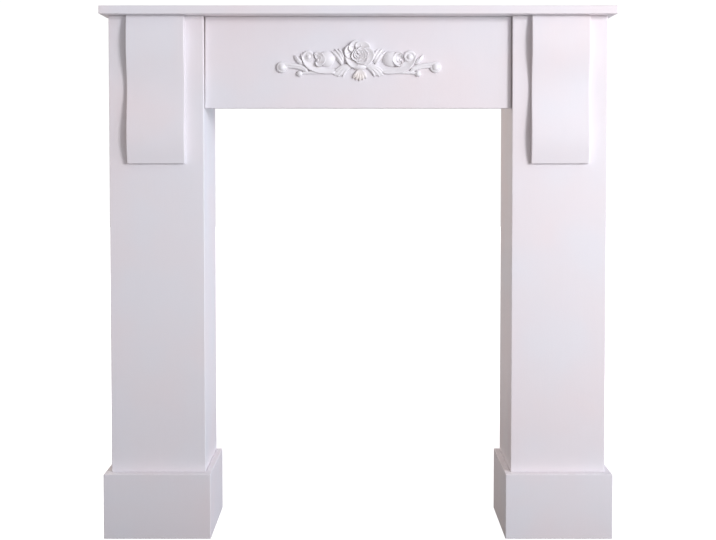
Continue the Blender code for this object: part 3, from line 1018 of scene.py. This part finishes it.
    def drawn_in(self, out: Array, up: Array, rounds: int = 3, flattest: float = 0.2,
                 farthest: float = 0.9) -> tuple[Array, Array]:
        """Moves points next to the outline onto it by a few steps of Newton's rule on the reach.

        Args:
            out: Their places outwards.
            up: Their places upwards.
            rounds: How many steps they take.
            flattest: The least squared slope that a step is divided by.
            farthest: How many cells a point may move in all.

        Returns:
            The moved places.
        """
        x, y = out, up
        for _ in range(rounds):
            slope_x, slope_y, value = self.slope(x, y)
            steep = np.maximum(slope_x ** 2 + slope_y ** 2, flattest)
            x = x - np.clip(value * slope_x / steep, -self.cell / 2, self.cell / 2)
            y = y - np.clip(value * slope_y / steep, -self.cell / 2, self.cell / 2)
        most = self.cell * farthest
        return np.clip(x, out - most, out + most), np.clip(y, up - most, up + most)

    def rim_height(self, x: Array, y: Array, inset: float = 0.06, flattest: float = 0.4) -> Array:
        """Heights of points on the outline, read a little inside it, where the forms are.

        Args:
            x: Their places outwards.
            y: Their places upwards.
            inset: How far inside they are read.
            flattest: The least slope that a step is divided by.

        Returns:
            The heights.
        """
        slope_x, slope_y, value = self.slope(x, y)
        step = (inset + np.maximum(-value, 0.0)) / np.maximum(np.hypot(slope_x, slope_y), flattest)
        height = self.relief(x + slope_x * step, y + slope_y * step)[0]
        return np.where(height > 0, height, self.edge)

    @staticmethod
    def rim_edges(cells: Array, number: Array) -> tuple[Array, Array]:
        """The edges between a covered cell and an uncovered one, anticlockwise round the covered one.

        Args:
            cells: True for each covered cell.
            number: Each grid point's vertex number.

        Returns:
            The vertex numbers of the edges' starts and ends.
        """
        padded = np.pad(cells, 1)
        below = cells & ~padded[:-2, 1:-1]
        above = cells & ~padded[2:, 1:-1]
        before = cells & ~padded[1:-1, :-2]
        after = cells & ~padded[1:-1, 2:]
        a, b, c, d = number[:-1, :-1], number[:-1, 1:], number[1:, 1:], number[1:, :-1]
        starts = np.concatenate([a[below], c[above], d[before], b[after]])
        ends = np.concatenate([b[below], d[above], a[before], c[after]])
        return starts, ends

    def placed(self, flat: Array, heights: Array) -> Array:
        """Sets the drawing on the header's face, at the solid's own back plane.

        Args:
            flat: Places in the drawing.
            heights: Heights over the back, for the relief and again for the back.

        Returns:
            Points in the mantelpiece's frame, in metres.
        """
        low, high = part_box(self.node)
        x = (low.x + high.x) / 2 + flat[:, 0] * MILLIMETRE
        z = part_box("header_board")[1].z + (flat[:, 1] - self.drop) * MILLIMETRE
        return np.stack([np.tile(x, 2), high.y - heights * MILLIMETRE, np.tile(z, 2)], axis=1)

    def recess_shade(self, height: Array, used: Array) -> Array:
        """How deep each point lies, for the painted recess shade: the mean height round it less its own, over
        the full depth, from 0 to 1.

        Args:
            height: Heights on the grid.
            used: True for the points that are kept.

        Returns:
            One value for each kept point.
        """
        kept = np.where(used, np.maximum(height, 0.0), 0.0)
        mean, width = kept, int(round(self.recess_reach / self.cell))
        for axis in (0, 1):
            margins = [(width, width) if a == axis else (0, 0) for a in (0, 1)]
            total = np.cumsum(np.pad(mean, margins, "edge"), axis)
            first, last = (np.arange(mean.shape[axis]) + shift for shift in (0, 2 * width))
            mean = (np.take(total, last, axis) - np.take(total, first, axis)) / (2 * width)
        return np.clip((mean - kept) / self.recess_depth, 0.0, 1.0)[used]

    def cream(self, flat: Array, strength: float = 1.4) -> Array:
        """1 over the shell of pods under the rose, which kept a creamier coat, fading out round it."""
        away = (flat - np.array(self.cream_place)) / np.array(self.cream_axes)
        return np.clip(strength - np.hypot(away[:, 0], away[:, 1]), 0.0, 1.0)

    @staticmethod
    def mark(piece: bpy.types.Object, name: str, values: Array) -> None:
        """Stores one number a vertex for the finish to read."""
        layer = piece.data.attributes.new(name, "FLOAT", "POINT")
        layer.data.foreach_set("value", values.astype(np.float32))

    def build(self) -> bpy.types.Object:
        """Makes the relief: a grid over the drawing, drawn in to the outline, with a wall down to a flat back.

        Points just outside the outline move onto it along the reach's slope. Top and back share the grid's
        faces, and a wall joins them along its rim.

        Returns:
            The piece, which stands for its solid.
        """
        out, up = np.meshgrid(np.arange(-self.half_length, self.half_length, self.cell),
                              np.arange(self.lowest, self.highest, self.cell))
        height, reach = (part.reshape(out.shape) for part in self.relief(out.ravel(), up.ravel()))
        cells = self.outline_cells(reach)
        used = np.zeros(out.shape, bool)
        for part in (used[:-1, :-1], used[1:, :-1], used[:-1, 1:], used[1:, 1:]):
            part |= cells
        rim = used & (reach <= 0)
        out[rim], up[rim] = self.drawn_in(out[rim], up[rim])
        height[rim] = self.rim_height(out[rim], up[rim])
        height = np.maximum(height, self.edge)
        number = np.cumsum(used.ravel()).reshape(used.shape) - 1
        top = np.stack([number[:-1, :-1], number[:-1, 1:], number[1:, 1:], number[1:, :-1]], axis=2)[cells]
        count = int(used.sum())
        starts, ends = self.rim_edges(cells, number)
        walls = np.stack([ends, starts, starts + count, ends + count], axis=1)
        flat = np.stack([out[used], up[used]], axis=1)
        points = self.placed(flat, np.concatenate([height[used], np.zeros(count)]))
        made = mesh_piece("cast_rose_ornament", points, np.concatenate([top, top[:, ::-1] + count, walls]),
                          CastPaint().material())
        # painted shade in the recesses, stored as how deep each point lies
        self.mark(made, "recess_shade", np.concatenate([self.recess_shade(height, used), np.zeros(count)]))
        self.mark(made, "cream", np.tile(self.cream(flat), 2))
        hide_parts(self.node)
        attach(made, BODY)
        LOG.info("rose ornament: %d faces", len(made.data.polygons))
        return made


@dataclass(frozen=True)
class SoftBox:
    """A square studio light that looks at a point."""

    name: str
    place: tuple[float, float, float]
    target: tuple[float, float, float]
    size: float
    power: float
    colour: Colour

    def build(self) -> None:
        """Sets up the light."""
        data = bpy.data.lights.new(self.name, "AREA")
        data.size = self.size
        data.energy = self.power
        data.color = self.colour
        lamp = bpy.data.objects.new(self.name, data)
        lamp.location = self.place
        way = Vector(self.target) - Vector(self.place)
        lamp.rotation_euler = way.to_track_quat("-Z", "Y").to_euler()
        bpy.context.scene.collection.objects.link(lamp)


@dataclass(frozen=True)
class Studio:
    """A white studio: a pale floor, a surround that is brighter on the right, a key light and the camera."""

    seen: Colour = (1.0, 1.0, 1.0)
    seen_strength: float = 1.05
    surround: Colour = (1.24, 0.98, 0.90)
    surround_strength: float = 0.08
    ceiling: Colour = (1.05, 1.00, 0.98)
    ceiling_strength: float = 0.42
    window: Colour = (0.87, 1.00, 1.19)
    window_strength: float = 2.10
    backdrop: Colour = (1.12, 1.00, 0.92)
    backdrop_strength: float = 2.6
    floor_half: float = 9.0
    floor_drop: float = 0.0004
    floor_shades: Place = (0.20, 0.74)
    floor_reach: Place = (0.55, 1.50)
    floor_roughness: float = 0.9
    floor_glow: float = 1.05
    key: SoftBox = SoftBox("key_light", (2.14, -2.53, 1.42), (0.0, 0.0, 1.10), 0.78, 60.2, (1.03, 1.0, 1.035))
    camera_place: tuple[float, float, float] = (-0.0002, -2.30, 0.7647)
    camera_pitch: float = 0.0363
    focal_pixels: float = 1135.2
    image_width: float = 716.0
    sensor_width: float = 36.0
    shift_y: float = -0.11

    def build_surround(self) -> None:
        """A world that looks pure white and lights the object more dimly.

        Its light is even, plus a ceiling's share, the direction's height, plus a window's share on the right,
        the direction's x times one less its height, plus a pale backdrop's share behind on the left, its x
        times its y.
        """
        world = bpy.data.worlds.new("studio")
        world.use_nodes = True
        sheet = NodeSheet(world.node_tree)
        axes = sheet.node("SeparateXYZ", {0: sheet.coordinates.outputs["Generated"]}).outputs
        right, behind, above = (sheet.math("MAXIMUM", axes[name], 0.0) for name in ("X", "Y", "Z"))
        left = sheet.math("MAXIMUM", sheet.product(axes["X"], -1.0), 0.0)
        low = sheet.math("SUBTRACT", 1.0, above)
        shares = (
            (self.surround, self.surround_strength),
            (self.ceiling, sheet.product(above, self.ceiling_strength)),
            (self.window, sheet.product(right, low, self.window_strength)),
            (self.backdrop, sheet.product(left, behind, self.backdrop_strength)),
            (self.seen, self.seen_strength),
        )
        *glows, seen = (sheet.node("Background", {"Color": colour, "Strength": strength}).outputs[0]
                        for colour, strength in shares)
        camera_ray = sheet.node("LightPath", {}).outputs["Is Camera Ray"]
        both = sheet.node("MixShader", {0: camera_ray, 1: reduce(sheet.added, glows), 2: seen})
        sheet.put(sheet.tree.nodes["World Output"].inputs["Surface"], both.outputs[0])
        bpy.context.scene.world = world

    def build_floor(self) -> None:
        """A floor that is paler away from the object and melts into the surround."""
        edge = self.floor_half
        corners = [(-edge, -edge), (edge, -edge), (edge, edge), (-edge, edge)]
        mesh = bpy.data.meshes.new("floor")
        mesh.from_pydata([(x, y, -self.floor_drop) for x, y in corners], [], [(0, 1, 2, 3)])
        floor = bpy.data.objects.new("floor", mesh)
        bpy.context.scene.collection.objects.link(floor)
        sheet = FinishSheet("pale_floor")
        away = sheet.node("VectorMath", {0: sheet.place}, operation="LENGTH").outputs["Value"]
        sheet.put(sheet.shader.inputs["Base Color"], sheet.spread(away, self.floor_reach, self.floor_shades))
        sheet.put(sheet.shader.inputs["Roughness"], self.floor_roughness)
        camera_ray = sheet.node("LightPath", {}).outputs["Is Camera Ray"]
        glow = sheet.node("Emission", {"Strength": sheet.product(camera_ray, self.floor_glow)})
        both = sheet.added(sheet.shader.outputs[0], glow.outputs[0])
        sheet.put(sheet.tree.nodes["Material Output"].inputs["Surface"], both)
        mesh.materials.append(sheet.material)
        floor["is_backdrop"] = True

    def build_camera(self) -> None:
        """The camera, at the photograph's own viewpoint, with a small shift for its low frame."""
        data = bpy.data.cameras.new("camera")
        data.sensor_width = self.sensor_width
        data.lens = self.focal_pixels * self.sensor_width / self.image_width
        data.shift_y = self.shift_y
        camera = bpy.data.objects.new("camera", data)
        camera.location = self.camera_place
        camera.rotation_euler = (QUARTER - self.camera_pitch, 0.0, 0.0)
        bpy.context.scene.collection.objects.link(camera)
        bpy.context.scene.camera = camera

    def build(self) -> None:
        """Sets up the camera, the light and the floor."""
        self.build_camera()
        self.build_surround()
        self.build_floor()
        self.key.build()
        bpy.context.scene.view_settings.view_transform = "Standard"
        LOG.info("studio: camera %.2f m away, key light %.0f W", -self.camera_place[1], self.key.power)


def main() -> None:
    """Builds and dresses the mantelpiece, from its boards to its ornament."""
    logging.basicConfig(level=logging.INFO, format="%(name)s: %(message)s")
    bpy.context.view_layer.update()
    Studio().build()
    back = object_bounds()[1][1]
    paints = {bare: SatinPaint().material(bare, back) for bare in BareFace}
    TopBoards().dress(paints)
    for side in Side:
        Pillar(side).dress(paints)
        Plinth(side).dress(paints)
        Bracket(side).build(paints[BareFace.NONE])
    RoseOrnament().build()


if __name__ == "__main__":
    main()
